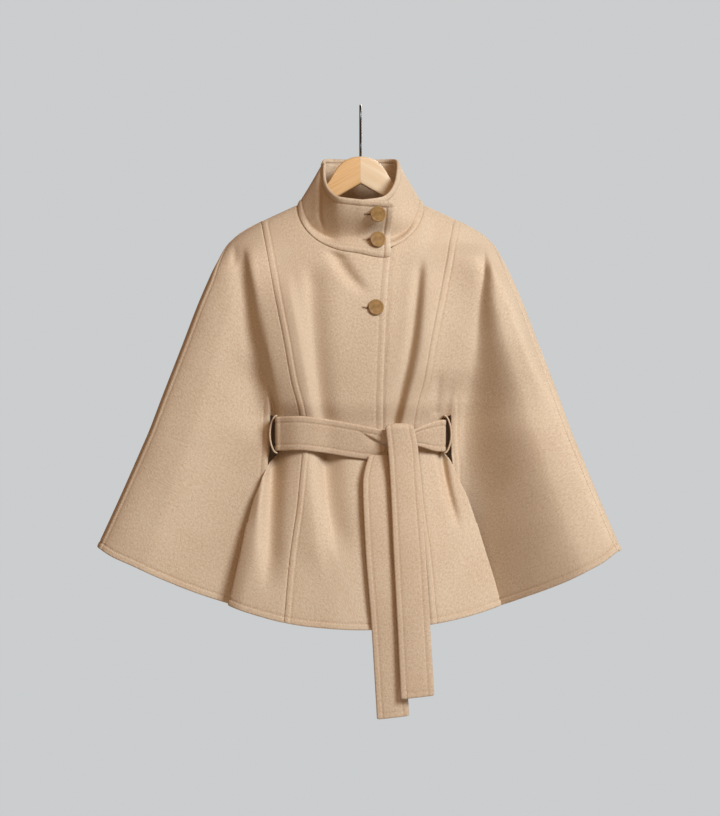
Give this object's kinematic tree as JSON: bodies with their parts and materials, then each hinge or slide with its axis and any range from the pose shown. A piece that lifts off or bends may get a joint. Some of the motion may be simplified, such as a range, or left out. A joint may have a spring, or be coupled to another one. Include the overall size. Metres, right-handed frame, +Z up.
{
  "type": "belted cape on a hanger",
  "caption": "Short belted wool cape with a lapped stand collar, front buttons, arm slits and a knotted belt with hanging tails, hung on a wooden hanger with a wire hook.",
  "frame": {"origin": "underside of the hook's crook, where it rests on top of a clothes rail", "axes": "+Z up along the hook's shank, the front of the cape faces -Y, +X is the wearer's left and runs along the rail"},
  "size_m": [0.7584, 0.3056, 0.8988],
  "materials": {
    "camel_wool": "felted wool with a short nap",
    "camel_wool_belt": "felted wool, doubled and topstitched",
    "button_horn": "satin",
    "hanger_beech": "satin lacquer",
    "hook_steel": "polished"
  },
  "bodies": {
    "root": {"front_right": "camel_wool", "front_left": "camel_wool", "side_right": "camel_wool", "side_left": "camel_wool", "back": "camel_wool", "collar": "camel_wool", "belt_wrap_right": "camel_wool_belt", "belt_wrap_left": "camel_wool_belt", "belt_back": "camel_wool_belt", "belt_knot": "camel_wool_belt", "belt_tail_over": "camel_wool_belt", "belt_tail_under": "camel_wool_belt", "belt_loop_right": "camel_wool_belt", "belt_loop_left": "camel_wool_belt", "button_collar_upper": "button_horn", "button_collar_lower": "button_horn", "button_front": "button_horn", "hanger_arm_right": "hanger_beech", "hanger_arm_left": "hanger_beech", "hanger_hook": "hook_steel"}
  },
  "joints": []
}
